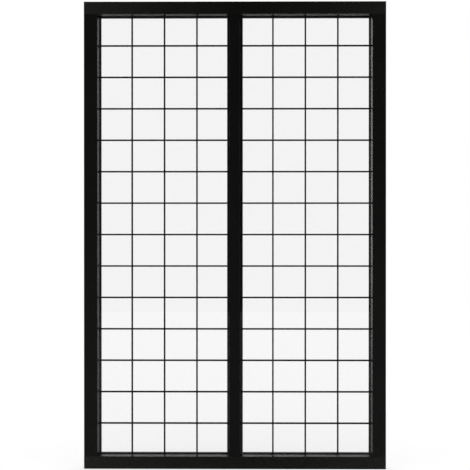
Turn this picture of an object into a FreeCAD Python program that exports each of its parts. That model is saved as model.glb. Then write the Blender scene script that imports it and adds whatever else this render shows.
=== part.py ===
"""Interior glass partition: two bays of gridded glass in a slim black aluminium frame.

The frame is a kit of straight extrusions. A top and a bottom rail run the full width.
Two stiles and a mullion stand between them, square cut, and screws through the rails
run into ports inside them.
Each pane stands on setting blocks in the rebate, against a seal on the rear flange.
Clip-on front covers press a second seal on its front. A grid of slim flat bars is
bonded to both faces of each pane.

Frame of reference, in millimetres: X runs along the partition, Y from its front face to
its rear face and Z up. The origin is the middle of the underside of the bottom rail.

An extrusion's section is drawn in (u, v). u runs from its outer edge, or from the middle
of the mullion, towards the glass. v runs from the front face of the covers to the rear.
"""

import FreeCAD
import Part

import math
import os

# Overall size
frame_width = 840.0
frame_height = 1300.0

# Frame extrusions: a box with a hollow flange behind the glass. The stiles are wider
rebate_floor = 28.0
flange_step = 4.9
flange_thickness = 11.0
stile_extra = 2.8
mullion_web_width = 13.0
mullion_flange_width = 43.8
wall = 1.6
edge_flat = 0.5
seat_clearance = 0.1

# Screw ports that run inside the uprights and take the joint screws
port_bore = 3.6
port_boss = 7.0
port_slot = 1.4
port_web = 1.4
stile_port_offset = 15.0
front_port_depth = 14.0

# Front covers
cover_wall = 1.5
cover_edge_radius = 0.6
cover_face = 34.5
cover_bevel = 4.0
cover_nose_height = 3.0
cover_standoff = 6.0
mullion_cover_width = 28.6
clip_lip = 6.0
mullion_clip_slot = 5.0
clip_leg = 0.9
clip_barb = 0.9
clip_barb_height = 1.45
clip_clearance = 0.2
clip_hook_clearance = 0.15

# Glass, seals and setting blocks
glass_thickness = 6.0
glass_arris = 0.5
glass_edge_gap = 3.0
glass_front_depth = 20.0
seal_thickness = 3.0
front_seal_width = 5.0
front_seal_proud = 0.4
rear_seal_width = 6.0
rear_seal_inset = 0.3
seal_lip_flat = 1.2
seal_foot_width = 2.0
seal_foot_depth = 1.2
seal_foot_clearance = 0.1
seal_return_thickness = 2.2
seal_joint_gap = 0.4
block_length = 50.0

# Grid of flat bars on the glass
grid_columns = 4
grid_side_margin = 1.2
grid_row_pitch = 87.79
grid_rise = 2.2
grid_bar_width = 4.4
grid_bar_thickness = 1.5
grid_end_gap = 0.3

# Holes for the screws that join the kit and for the screws that fix it to the building
joint_hole = 4.5
joint_access = 7.6
fixing_hole = 6.0
fixing_access = 10.0
stile_fixing_margin = 125.0
stile_fixing_count = 4

# Places that follow from the sizes
glass_rear_depth = glass_front_depth + glass_thickness
flange_depth = glass_rear_depth + seal_thickness
front_seal_depth = glass_front_depth - seal_thickness
frame_depth = flange_depth + flange_thickness
cover_bevel_drop = front_seal_depth - cover_nose_height
rear_chamber_front = flange_depth + wall
rear_chamber_rear = frame_depth - wall
rear_port_depth = (rear_chamber_front + rear_chamber_rear) / 2
fixing_depth = (flange_depth + front_port_depth + port_boss / 2) / 2
cover_nose = cover_face + cover_bevel
flange_reach = cover_nose + flange_step
stile_floor = rebate_floor + stile_extra
stile_reach = flange_reach + stile_extra
stile_nose = cover_nose + stile_extra
glass_edge = rebate_floor + glass_edge_gap
mullion_web = mullion_web_width / 2
mullion_flange = mullion_flange_width / 2
mullion_cover = mullion_cover_width / 2
mullion_glass_edge = mullion_web + glass_edge_gap
rear_seal_middle = flange_reach - rear_seal_inset - rear_seal_width / 2
front_seal_middle = cover_nose + front_seal_proud - front_seal_width / 2
upright_low = rebate_floor
upright_high = frame_height - rebate_floor
cover_low = cover_face
cover_high = frame_height - cover_face

# Runs of the lengths of extrusion
across = FreeCAD.Vector(frame_width, 0, 0)
upright_run = FreeCAD.Vector(0, 0, upright_high - upright_low)
cover_run = FreeCAD.Vector(0, 0, cover_high - cover_low)


def place_left(height):
    """Gives the map from (u, v) to a point of the left stile's section at this height."""
    return lambda u, v: FreeCAD.Vector(u - frame_width / 2, v - frame_depth / 2, height)


def place_right(height):
    """Gives the map from (u, v) to a point of the right stile's section at this height."""
    return lambda u, v: FreeCAD.Vector(frame_width / 2 - u, v - frame_depth / 2, height)


def place_middle(height):
    """Gives the map from (u, v) to a point of the mullion's section at this height."""
    return lambda u, v: FreeCAD.Vector(u, v - frame_depth / 2, height)


def place_bottom(along):
    """Gives the map from (u, v) to a point of the bottom rail's section at this X."""
    return lambda u, v: FreeCAD.Vector(along, v - frame_depth / 2, u)


def place_top(along):
    """Gives the map from (u, v) to a point of the top rail's section at this X."""
    return lambda u, v: FreeCAD.Vector(along, v - frame_depth / 2, frame_height - u)


def round_cut(start, middle, end, place):
    """Makes the edge of a rounded corner."""
    return Part.Arc(*[place(*point[:2]) for point in (start, middle, end)]).toShape()


def flat_cut(start, middle, end, place):
    """Makes the edge of a corner that is cut flat."""
    return Part.makeLine(place(*start[:2]), place(*end[:2]))


def outline(corners, place, corner_cut=round_cut):
    """Makes a face from (u, v) or (u, v, size) corners, each sized one cut round or flat."""
    points = [FreeCAD.Vector(corner[0], corner[1], 0) for corner in corners]
    radii = [corner[2] if len(corner) > 2 else 0.0 for corner in corners]
    count = len(points)
    starts, middles, ends = [], [], []
    for index in range(count):
        point, radius = points[index], radii[index]
        back = (points[index - 1] - point).normalize()
        ahead = (points[(index + 1) % count] - point).normalize()
        half_angle = back.getAngle(ahead) / 2
        tangent = radius / math.tan(half_angle)
        starts.append(point + back * tangent)
        ends.append(point + ahead * tangent)
        inward = (back + ahead).normalize() if radius else back
        middles.append(point + inward * (radius / math.sin(half_angle) - radius))
    edges = []
    for index in range(count):
        edges.append(Part.makeLine(place(*ends[index - 1][:2]), place(*starts[index][:2])))
        if radii[index]:
            edges.append(corner_cut(starts[index], middles[index], ends[index], place))
    return Part.Face(Part.Wire(edges))


def rectangle(u_low, v_low, u_high, v_high, place):
    """Makes a sharp rectangle of the section."""
    corners = [(u_low, v_low), (u_high, v_low), (u_high, v_high), (u_low, v_high)]
    return outline(corners, place)


def port_voids(u, v, slot, place):
    """Makes the eight-sided bore of a port, which a screw cuts its thread in, and its slot."""
    half = port_bore / 2
    bore = [(u + a * half, v + b * half, half * (2 - math.sqrt(2)))
            for a, b in ((-1, -1), (1, -1), (1, 1), (-1, 1))]
    return [outline(bore, place, flat_cut), slot]


def joined(shapes):
    """Fuses shapes into one and drops the seams between them."""
    if len(shapes) == 1:
        return shapes[0]
    return shapes[0].multiFuse(shapes[1:]).removeSplitter()


def only(pieces):
    """Gives the one piece that a cut or fused shape should hold."""
    if len(pieces) != 1:
        raise ValueError(f"expected one piece and found {len(pieces)}")
    return pieces[0]


def box(x_low, y_low, z_low, x_high, y_high, z_high):
    """Makes a box between two corners."""
    size = (x_high - x_low, y_high - y_low, z_high - z_low)
    return Part.makeBox(*size, FreeCAD.Vector(x_low, y_low, z_low))


def front_port(u, low, high, place):
    """Makes the metal and the voids of the port on a cross web from u = low to high."""
    v = front_port_depth
    half = port_boss / 2
    web = rectangle(low, v - port_web / 2, high, v + port_web / 2, place)
    boss = rectangle(u - half, v - half, u + half, v + half, place)
    slot = rectangle(u - port_slot / 2, v, u + port_slot / 2, v + port_boss, place)
    return [web, boss], port_voids(u, v, slot, place)


def rear_port(u, place):
    """Makes the metal and the voids of the port that fills part of the rear chamber."""
    v = rear_port_depth
    half = port_boss / 2
    boss = rectangle(u - half, flange_depth + wall / 2,
                     u + half, frame_depth - wall / 2, place)
    slot = rectangle(u, v - port_slot / 2, u + port_boss, v + port_slot / 2, place)
    return [boss], port_voids(u, v, slot, place)


def seal_groove(middle, place):
    """Makes the groove that a seal's foot is pressed into, in the rear flange."""
    half = seal_foot_width / 2 + seal_foot_clearance
    depth = seal_foot_depth + seal_foot_clearance
    return rectangle(middle - half, flange_depth, middle + half, flange_depth + depth, place)


def groove_boss(middle, place):
    """Makes the thicker stretch of flange wall behind the seal groove."""
    half = seal_foot_width / 2 + seal_foot_clearance + wall
    depth = seal_foot_depth + seal_foot_clearance + wall
    return rectangle(middle - half, flange_depth, middle + half, flange_depth + depth, place)


def clip_mouth(low, high, place):
    """Makes the mouth in the front wall that a cover's clips snap into."""
    return rectangle(low, cover_standoff, high, cover_standoff + wall, place)


def frame_section(place, extra, has_ports):
    """Makes the section of a rail or a stile, this much wider than a rail.

    Only the stiles' section has screw ports, because the joint screws cross the rails.
    """
    floor = rebate_floor + extra
    reach = flange_reach + extra
    seal_middle = rear_seal_middle + extra
    outer = outline([
        (0, cover_standoff),
        (floor, cover_standoff),
        (floor, flange_depth),
        (reach, flange_depth, edge_flat),
        (reach, frame_depth, edge_flat),
        (0, frame_depth, edge_flat),
    ], place, flat_cut)
    inner_wall = floor - wall
    voids = [
        rectangle(wall, cover_standoff + wall, inner_wall, flange_depth, place),
        rectangle(wall, rear_chamber_front, inner_wall, rear_chamber_rear, place),
        rectangle(floor, rear_chamber_front, reach - wall, rear_chamber_rear, place),
        clip_mouth(clip_lip, floor - clip_lip, place),
    ]
    metal = [outer.cut(voids), groove_boss(seal_middle, place)]
    bores = [seal_groove(seal_middle, place)]
    if has_ports:
        u = stile_port_offset
        front_metal, front_bores = front_port(u, wall / 2, inner_wall + wall / 2, place)
        rear_metal, rear_bores = rear_port(u, place)
        metal += front_metal + rear_metal
        bores += front_bores + rear_bores
    return joined(metal).cut(bores)


def mullion_section(place):
    """Makes the mullion's section, a box on a wider flange, the same on both sides."""
    outer = outline([
        (-mullion_web, cover_standoff),
        (mullion_web, cover_standoff),
        (mullion_web, flange_depth),
        (mullion_flange, flange_depth, edge_flat),
        (mullion_flange, frame_depth, edge_flat),
        (-mullion_flange, frame_depth, edge_flat),
        (-mullion_flange, flange_depth, edge_flat),
        (-mullion_web, flange_depth),
    ], place, flat_cut)
    half_chamber = mullion_web - wall
    half_flange = mullion_flange - wall
    half_mouth = mullion_clip_slot / 2
    voids = [
        rectangle(-half_chamber, cover_standoff + wall, half_chamber, flange_depth, place),
        rectangle(-half_flange, rear_chamber_front, half_flange, rear_chamber_rear, place),
        clip_mouth(-half_mouth, half_mouth, place),
    ]
    seal_offset = mullion_flange - flange_reach + rear_seal_middle
    front_metal, front_bores = front_port(0, wall / 2 - mullion_web,
                                          mullion_web - wall / 2, place)
    rear_metal, rear_bores = rear_port(0, place)
    metal = [outer.cut(voids)] + front_metal + rear_metal
    bores = front_bores + rear_bores
    for side in (-1, 1):
        metal.append(groove_boss(side * seal_offset, place))
        bores.append(seal_groove(side * seal_offset, place))
    return joined(metal).cut(bores)


def arrow_clip(low, high, place):
    """Makes the two barbed legs that hold a cover in a mouth from u = low to high."""
    shoulder = cover_standoff + wall + clip_hook_clearance
    tip = shoulder + clip_barb_height
    legs = []
    for edge, inward in ((low, 1), (high, -1)):
        outside = edge + inward * clip_clearance
        inside = outside + inward * clip_leg
        barb_tip = outside - inward * clip_barb
        legs.append(outline([
            (inside, cover_wall / 2),
            (outside, cover_wall / 2),
            (outside, shoulder),
            (barb_tip, shoulder),
            (outside, tip),
            (inside, tip),
        ], place))
    return legs


def cover_groove(middle, place):
    """Makes the groove for a seal's foot in a cover's return."""
    half = seal_foot_width / 2 + seal_foot_clearance
    depth = seal_foot_depth + seal_foot_clearance
    return rectangle(middle - half, front_seal_depth - depth,
                     middle + half, front_seal_depth, place)


def cover_section(place, extra):
    """Makes the section of an outer cover, this much wider than a rail's.

    It has a flat face, bevel, nose, return and clips. The inside of the bevel runs on
    behind the nose until it meets the return.
    """
    face = cover_face + extra
    nose = cover_nose + extra
    floor = rebate_floor + extra
    return_top = front_seal_depth - seal_return_thickness
    return_end = nose + front_seal_proud - front_seal_width
    bevel_angle = math.atan2(cover_bevel_drop, cover_bevel)
    face_inside = face - cover_wall * math.tan(bevel_angle / 2)
    bevel_inside = face_inside + (return_top - cover_wall) / math.tan(bevel_angle)
    skin = outline([
        (0, 0, cover_edge_radius),
        (face, 0, cover_edge_radius),
        (nose, cover_bevel_drop, cover_edge_radius),
        (nose, front_seal_depth),
        (return_end, front_seal_depth),
        (return_end, return_top),
        (bevel_inside, return_top),
        (face_inside, cover_wall),
        (cover_wall, cover_wall),
        (cover_wall, cover_standoff),
        (0, cover_standoff),
    ], place)
    standoff = rectangle(floor - cover_wall, cover_wall / 2, floor, cover_standoff, place)
    clips = arrow_clip(clip_lip, floor - clip_lip, place)
    groove = cover_groove(front_seal_middle + extra, place)
    return joined([skin, standoff] + clips).cut(groove)


def mullion_cover_section(place):
    """Makes the section of the mullion's cover: flat face, square sides, returns, clip."""
    inner_side = mullion_cover - cover_wall
    return_top = front_seal_depth - seal_return_thickness
    return_end = mullion_cover + front_seal_proud - front_seal_width
    half = [
        (mullion_cover, 0, cover_edge_radius),
        (mullion_cover, front_seal_depth),
        (return_end, front_seal_depth),
        (return_end, return_top),
        (inner_side, return_top),
        (inner_side, cover_wall),
    ]
    other_half = [(-corner[0], *corner[1:]) for corner in reversed(half)]
    skin = outline(half + other_half, place)
    feet = []
    for side in (-1, 1):
        low, high = sorted((side * (mullion_web - cover_wall), side * mullion_web))
        feet.append(rectangle(low, cover_wall / 2, high, cover_standoff, place))
    middle = mullion_cover + front_seal_proud - front_seal_width / 2
    grooves = [cover_groove(side * middle, place) for side in (-1, 1)]
    clips = arrow_clip(-mullion_clip_slot / 2, mullion_clip_slot / 2, place)
    return joined([skin] + feet + clips).cut(grooves)


def extruded(section, run):
    """Runs every face of a section along a vector and joins them into one solid."""
    return only(joined([face.extrude(run) for face in section.Faces]).Solids)


def floor_hole(mouth, inward, floor, hole):
    """Makes the drill through the rebate floor, this far above a mouth in the outer wall."""
    start = mouth + inward * (floor - wall * 2)
    return Part.makeCylinder(hole / 2, wall * 3, start, inward)


def fixing_path(mouth, inward, floor):
    """Makes the drills of a wall fixing: its hole and the way in for its head."""
    outer = Part.makeCylinder(fixing_hole / 2, wall * 2, mouth, inward)
    return [outer, floor_hole(mouth, inward, floor, fixing_access)]


def access_slot(x, edge, inward):
    """Makes the mill that opens a rail's outer wall over the two screws of a joint."""
    half = joint_access / 2
    y_low = front_port_depth - frame_depth / 2
    y_high = rear_port_depth - frame_depth / 2
    z_low, z_high = sorted((edge, edge + inward.z * wall * 2))
    ends = [Part.makeCylinder(half, wall * 2, FreeCAD.Vector(x, y, edge), inward)
            for y in (y_low, y_high)]
    return joined([box(x - half, y_low, z_low, x + half, y_high, z_high)] + ends)


def rail_holes(place):
    """Makes the drills of a rail: screws into the uprights' ports, and wall fixings."""
    inward = place(1, 0) - place(0, 0)
    edge = place(0, 0).z
    stile_port = frame_width / 2 - stile_port_offset
    bay_middle = (frame_width / 2 - stile_floor + mullion_web) / 2
    holes = []
    for x in (-stile_port, 0.0, stile_port):
        holes.append(access_slot(x, edge, inward))
        for depth in (front_port_depth, rear_port_depth):
            mouth = FreeCAD.Vector(x, depth - frame_depth / 2, edge)
            holes.append(floor_hole(mouth, inward, rebate_floor, joint_hole))
    for x in (-bay_middle, bay_middle):
        mouth = FreeCAD.Vector(x, fixing_depth - frame_depth / 2, edge)
        holes += fixing_path(mouth, inward, rebate_floor)
    return holes


def stile_holes(place):
    """Makes the drills of a stile: wall fixings at even steps between two margins."""
    inward = place(1, 0) - place(0, 0)
    step = (frame_height - 2 * stile_fixing_margin) / (stile_fixing_count - 1)
    holes = []
    for index in range(stile_fixing_count):
        mouth = place(0, fixing_depth)
        mouth.z = stile_fixing_margin + step * index
        holes += fixing_path(mouth, inward, stile_floor)
    return holes


def upright_notches(half_flange, half_stile, low, high, v_low, v_high):
    """Makes the blocks that mill a rail away for the mullion and the two stiles.

    low and high bound the cut in Z, v_low and v_high in depth.
    """
    y_low = v_low - frame_depth / 2
    y_high = v_high - frame_depth / 2
    middle = half_flange + seat_clearance
    side = half_stile - seat_clearance
    end = frame_width / 2 + wall
    return [
        box(-middle, y_low, low, middle, y_high, high),
        box(-end, y_low, low, -side, y_high, high),
        box(side, y_low, low, end, y_high, high),
    ]


def make_rail(place, low, high):
    """Makes a rail: full width, its flange milled where the uprights stand."""
    rail = extruded(frame_section(place, 0, has_ports=False), across)
    notches = upright_notches(mullion_flange, frame_width / 2 - stile_reach,
                              low, high, flange_depth - wall, frame_depth + wall)
    return only(rail.cut(notches + rail_holes(place)).Solids)


def make_rail_cover(place, low, high):
    """Makes a rail's cover: full width, its bevel cut back where uprights' covers meet."""
    cover = extruded(cover_section(place, 0), across)
    notches = upright_notches(mullion_cover, frame_width / 2 - stile_nose,
                              low, high, -wall, flange_depth)
    return only(cover.cut(notches).Solids)


def make_stile(place):
    """Makes a stile, square cut, with its wall fixings drilled."""
    stile = extruded(frame_section(place, stile_extra, has_ports=True), upright_run)
    return only(stile.cut(stile_holes(place)).Solids)


def make_stile_cover(place):
    """Makes a stile's cover, square cut between the rails' covers."""
    return extruded(cover_section(place, stile_extra), cover_run)


def make_frame():
    """Makes the rails, the stiles, the mullion and their front covers."""
    reach = max(flange_reach, cover_nose) + wall
    left_end = -frame_width / 2
    bottom_place = place_bottom(left_end)
    top_place = place_top(left_end)
    top_edge = frame_height
    return {
        "bottom_rail": make_rail(bottom_place, rebate_floor, reach),
        "top_rail": make_rail(top_place, top_edge - reach, top_edge - rebate_floor),
        "left_stile": make_stile(place_left(upright_low)),
        "right_stile": make_stile(place_right(upright_low)),
        "mullion": extruded(mullion_section(place_middle(upright_low)), upright_run),
        "bottom_rail_cover": make_rail_cover(bottom_place, cover_face, reach),
        "top_rail_cover": make_rail_cover(top_place, top_edge - reach, cover_high),
        "left_stile_cover": make_stile_cover(place_left(cover_low)),
        "right_stile_cover": make_stile_cover(place_right(cover_low)),
        "mullion_cover": extruded(mullion_cover_section(place_middle(cover_low)), cover_run),
    }


def make_pane(x_low, x_high):
    """Makes a pane of glass with its edges arrissed."""
    y_low = glass_front_depth - frame_depth / 2
    pane = box(x_low, y_low, glass_edge, x_high, y_low + glass_thickness,
               frame_height - glass_edge)
    return pane.makeChamfer(glass_arris, pane.Edges)


def make_blocks(x_low, x_high):
    """Makes the two setting blocks that carry a pane, at its quarter points."""
    y_low = glass_front_depth - frame_depth / 2
    blocks = []
    for share in (0.25, 0.75):
        x = x_low + (x_high - x_low) * share
        blocks.append(box(x - block_length / 2, y_low, rebate_floor,
                          x + block_length / 2, y_low + glass_thickness, glass_edge))
    return blocks


def seal_section(middle, width, seat, glass, place):
    """Makes a seal's section: a pad between its seat and the glass, with a foot.

    seat and glass are the depths of the face that it sits on and of the glass.
    """
    half = width / 2
    foot = seal_foot_width / 2
    into_seat = 1 if seat > glass else -1
    foot_end = seat + into_seat * seal_foot_depth
    return outline([
        (middle - half, seat),
        (middle - half, glass, seal_lip_flat),
        (middle + half, glass, seal_lip_flat),
        (middle + half, seat),
        (middle + foot, seat),
        (middle + foot, foot_end),
        (middle - foot, foot_end),
        (middle - foot, seat),
    ], place, flat_cut)


def seal_strip(middle, width, seat, glass, place, run):
    """Makes one straight length of seal."""
    return seal_section(middle, width, seat, glass, place).extrude(run)


def make_seals(side, rear):
    """Makes the four lengths of seal on one face of a bay.

    side is -1 for the left bay and 1 for the right one, rear says which face.
    """
    if rear:
        seat, glass, width = flange_depth, glass_rear_depth, rear_seal_width
        outer_middle = rear_seal_middle
        mullion_middle = mullion_flange - flange_reach + rear_seal_middle
        low, high = upright_low, upright_high
    else:
        seat, glass, width = front_seal_depth, glass_front_depth, front_seal_width
        outer_middle = front_seal_middle
        mullion_middle = mullion_cover - cover_nose + front_seal_middle
        low, high = cover_low, cover_high
    outer_place = place_left(low) if side < 0 else place_right(low)
    stile_middle = outer_middle + stile_extra
    up = FreeCAD.Vector(0, 0, high - low)
    near, far = bay_span(side, mullion_middle + width / 2, stile_middle + width / 2)
    start = near + seal_joint_gap
    along = FreeCAD.Vector(far - near - 2 * seal_joint_gap, 0, 0)
    return [
        seal_strip(stile_middle, width, seat, glass, outer_place, up),
        seal_strip(side * mullion_middle, width, seat, glass, place_middle(low), up),
        seal_strip(outer_middle, width, seat, glass, place_bottom(start), along),
        seal_strip(outer_middle, width, seat, glass, place_top(start), along),
    ]


def bay_span(side, mullion_edge, outer_edge):
    """Gives the low and high X of a bay between two distances.

    mullion_edge is measured from the mullion's middle, outer_edge from the frame's side.
    """
    outer = frame_width / 2 - outer_edge
    if side < 0:
        return -outer, -mullion_edge
    return mullion_edge, outer


def make_grid(side, rear):
    """Makes the grid of flat bars on one face of a pane, fused where the bars cross."""
    if rear:
        outer_limit = flange_reach - rear_seal_inset
        mullion_limit = mullion_flange - rear_seal_inset
        v_low = glass_rear_depth
    else:
        outer_limit = cover_nose + front_seal_proud
        mullion_limit = mullion_cover + front_seal_proud
        v_low = glass_front_depth - grid_bar_thickness
    z_low = outer_limit + grid_end_gap
    x_low, x_high = bay_span(side, mullion_limit + grid_end_gap, z_low + stile_extra)
    z_high = frame_height - z_low
    y_low = v_low - frame_depth / 2
    y_high = y_low + grid_bar_thickness
    half = grid_bar_width / 2
    bars = []
    for x in column_places(side):
        bars.append(box(x - half, y_low, z_low, x + half, y_high, z_high))
    for z in row_places():
        bars.append(box(x_low, y_low, z - half, x_high, y_high, z + half))
    return only(joined(bars).Solids)


def column_places(side):
    """Gives the X of the grid's upright bars, at equal steps across a bay."""
    low, high = bay_span(side, mullion_cover + grid_side_margin,
                         stile_nose + grid_side_margin)
    pitch = (high - low) / grid_columns
    return [low + pitch * index for index in range(1, grid_columns)]


def row_places():
    """Gives the heights of the grid's level bars, as many as the opening has room for.

    They stand evenly about a line that is grid_rise above the middle of the frame.
    """
    clear_height = frame_height - 2 * cover_nose
    count = round(clear_height / grid_row_pitch) - 1
    first = frame_height / 2 + grid_rise - grid_row_pitch * (count - 1) / 2
    return [first + grid_row_pitch * index for index in range(count)]


def make_bay(name, side):
    """Makes the glass, blocks, seals and grids of one bay."""
    x_low, x_high = bay_span(side, mullion_glass_edge, glass_edge + stile_extra)
    return {
        name + "_pane": make_pane(x_low, x_high),
        name + "_setting_blocks": Part.makeCompound(make_blocks(x_low, x_high)),
        name + "_front_seal": Part.makeCompound(make_seals(side, rear=False)),
        name + "_rear_seal": Part.makeCompound(make_seals(side, rear=True)),
        name + "_front_grid": make_grid(side, rear=False),
        name + "_rear_grid": make_grid(side, rear=True),
    }


def main():
    """Builds every node and writes one STEP file for each."""
    nodes = make_frame()
    nodes.update(make_bay("left", -1))
    nodes.update(make_bay("right", 1))
    os.makedirs("parts", exist_ok=True)
    for name, shape in nodes.items():
        if not shape.isValid():
            raise ValueError(f"{name} is not a valid shape")
        shape.exportStep(f"parts/{name}.step")


main()
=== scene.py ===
"""Looks of the interior glass partition.

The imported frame, uprights' covers, panes and setting blocks keep their shapes and get
their finishes here. The rails' covers are milled for the uprights. The grids of flat
bars, the seals and the joint screws are built as fine surfaces in the same places.
Lengths are in metres: X along the partition, Y to its rear and Z up.
"""

import logging
import math
from dataclasses import dataclass
from enum import Enum
from typing import Any

import bpy
import numpy as np
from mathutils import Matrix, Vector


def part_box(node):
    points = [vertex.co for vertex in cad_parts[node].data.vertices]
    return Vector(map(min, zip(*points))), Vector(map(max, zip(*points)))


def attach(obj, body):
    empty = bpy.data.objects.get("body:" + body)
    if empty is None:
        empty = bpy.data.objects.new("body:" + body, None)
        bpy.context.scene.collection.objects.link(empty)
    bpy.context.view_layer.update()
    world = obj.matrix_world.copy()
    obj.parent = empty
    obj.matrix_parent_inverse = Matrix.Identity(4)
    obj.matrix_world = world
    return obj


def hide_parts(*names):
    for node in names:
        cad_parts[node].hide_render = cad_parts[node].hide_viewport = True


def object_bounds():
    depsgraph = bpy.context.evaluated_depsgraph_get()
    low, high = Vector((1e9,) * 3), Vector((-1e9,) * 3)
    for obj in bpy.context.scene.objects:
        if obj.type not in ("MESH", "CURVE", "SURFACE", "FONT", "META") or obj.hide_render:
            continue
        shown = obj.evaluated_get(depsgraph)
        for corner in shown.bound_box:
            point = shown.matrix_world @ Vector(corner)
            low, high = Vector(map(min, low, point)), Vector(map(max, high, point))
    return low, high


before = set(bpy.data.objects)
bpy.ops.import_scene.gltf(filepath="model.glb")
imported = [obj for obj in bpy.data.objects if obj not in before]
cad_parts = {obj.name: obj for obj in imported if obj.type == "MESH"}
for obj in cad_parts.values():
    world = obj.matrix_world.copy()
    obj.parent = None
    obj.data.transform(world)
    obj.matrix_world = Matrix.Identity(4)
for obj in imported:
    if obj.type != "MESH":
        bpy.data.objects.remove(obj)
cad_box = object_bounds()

log = logging.getLogger("partition")

MM = 0.001
BODY = "root"
Colour = tuple[float, float, float]
DUST = (0.09, 0.088, 0.082)


class Run(Enum):
    """Which way a length of extrusion runs."""

    ALONG = "along"
    UPRIGHT = "upright"

    def stretch(self) -> tuple[float, float, float]:
        """Gives the scale of a pattern that is drawn out along the length."""
        return (0.02, 1.0, 1.0) if self is Run.ALONG else (1.0, 1.0, 0.02)


class Face(Enum):
    """The two faces of a pane."""

    FRONT = "front"
    REAR = "rear"

    def outward(self) -> float:
        """Gives the sign of Y that points away from the glass."""
        return -1.0 if self is Face.FRONT else 1.0


class Side(Enum):
    """The two bays of the partition."""

    LEFT = "left"
    RIGHT = "right"

    def sign(self) -> float:
        """Gives the sign of X on this side of the mullion."""
        return -1.0 if self is Side.LEFT else 1.0


def node_box(node: str) -> np.ndarray:
    """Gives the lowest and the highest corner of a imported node, to the micrometre."""
    return np.round(np.array(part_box(node)), 6)


# Wiring of node trees


@dataclass
class Wiring:
    """Adds nodes to one node tree and joins their sockets."""

    tree: bpy.types.NodeTree

    def add(self, kind: str, inputs: dict[Any, Any] | None = None,
            **settings: Any) -> bpy.types.Node:
        """Adds a node and fills its inputs.

        Args:
            kind: The node's type name without its ShaderNode prefix.
            inputs: Values or sockets by the name or the number of the input.
            settings: Properties of the node.

        Returns:
            The new node.
        """
        prefix = "" if kind.startswith("Node") else "ShaderNode"
        node = self.tree.nodes.new(prefix + kind)
        for name, value in settings.items():
            setattr(node, name, value)
        for key, value in (inputs or {}).items():
            self.feed(node.inputs[key], value)
        return node

    def feed(self, socket: bpy.types.NodeSocket, value: Any) -> None:
        """Joins a socket to an input, or sets the input's value.

        Args:
            socket: The input to fill.
            value: A socket, a number, a vector or a colour.
        """
        if isinstance(value, bpy.types.NodeSocket):
            self.tree.links.new(value, socket)
        elif socket.type == "RGBA" and len(value) == 3:
            socket.default_value = (*value, 1.0)
        else:
            socket.default_value = value

    def math(self, operation: str, first: Any, second: Any = 0.0) -> bpy.types.NodeSocket:
        """Works out one sum.

        Args:
            operation: The name of the sum.
            first: The first number or socket.
            second: The second number or socket.

        Returns:
            The result's socket.
        """
        return self.add("Math", {0: first, 1: second}, operation=operation).outputs[0]

    def times(self, first: Any, second: Any) -> bpy.types.NodeSocket:
        """Multiplies two numbers."""
        return self.math("MULTIPLY", first, second)

    def remap(self, value: Any, low: float, high: float, to_low: float,
              to_high: float) -> bpy.types.NodeSocket:
        """Turns one range of a value into another, with soft ends.

        Args:
            value: The socket to read.
            low: The value that gives to_low.
            high: The value that gives to_high.
            to_low: The result at and below low.
            to_high: The result at and above high.

        Returns:
            The result's socket.
        """
        node = self.add("MapRange", {"Value": value, "From Min": low, "From Max": high,
                                     "To Min": to_low, "To Max": to_high},
                        interpolation_type="SMOOTHSTEP")
        return node.outputs["Result"]

    def noise(self, vector: Any, scale: Any, detail: float = 2.0,
              roughness: float = 0.5) -> bpy.types.NodeSocket:
        """Gives soft noise about one half.

        Args:
            vector: The place to read it at.
            scale: Grains to the metre.
            detail: How many finer layers are added.
            roughness: How strong those layers are.

        Returns:
            The noise's socket.
        """
        node = self.add("TexNoise", {"Vector": vector, "Scale": scale, "Detail": detail,
                                     "Roughness": roughness})
        return node.outputs["Fac"]

    def mixed(self, share: Any, first: Any, second: Any) -> bpy.types.NodeSocket:
        """Mixes two colours.

        Args:
            share: How much of the second there is.
            first: The first colour or socket.
            second: The second colour or socket.

        Returns:
            The mix's socket.
        """
        node = self.add("Mix", {0: share, 6: first, 7: second}, data_type="RGBA")
        return node.outputs[2]

    def blended(self, share: Any, first: Any, second: Any) -> bpy.types.NodeSocket:
        """Mixes two numbers, as mixed does two colours."""
        return self.add("Mix", {0: share, 2: first, 3: second}, data_type="FLOAT").outputs[0]

    def scaled(self, colour: Any, factor: Any) -> bpy.types.NodeSocket:
        """Makes a colour a number of times as light."""
        node = self.add("VectorMath", {0: colour, "Scale": factor}, operation="SCALE")
        return node.outputs[0]

    def group(self, tree: bpy.types.NodeTree, inputs: dict[Any, Any] | None = None) -> Any:
        """Places a node group, fills its inputs and gives its outputs."""
        return self.add("Group", inputs, node_tree=tree).outputs

    def place(self) -> bpy.types.NodeSocket:
        """Gives the place on the object, in metres."""
        return self.add("TexCoord").outputs["Object"]

    def finish(self, surface: bpy.types.Node, colour: Any, roughness: Any, height: Any,
               strength: float = 1.0) -> None:
        """Gives a surface its colour, its roughness and its relief.

        Args:
            surface: The surface's node.
            colour: Its base colour.
            roughness: Its roughness.
            height: Its relief, in metres.
            strength: How much of the relief shows.
        """
        bump = self.add("Bump", {"Height": height, "Distance": 1.0, "Strength": strength})
        self.feed(surface.inputs["Base Color"], colour)
        self.feed(surface.inputs["Roughness"], roughness)
        self.feed(surface.inputs["Normal"], bump.outputs[0])


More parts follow.
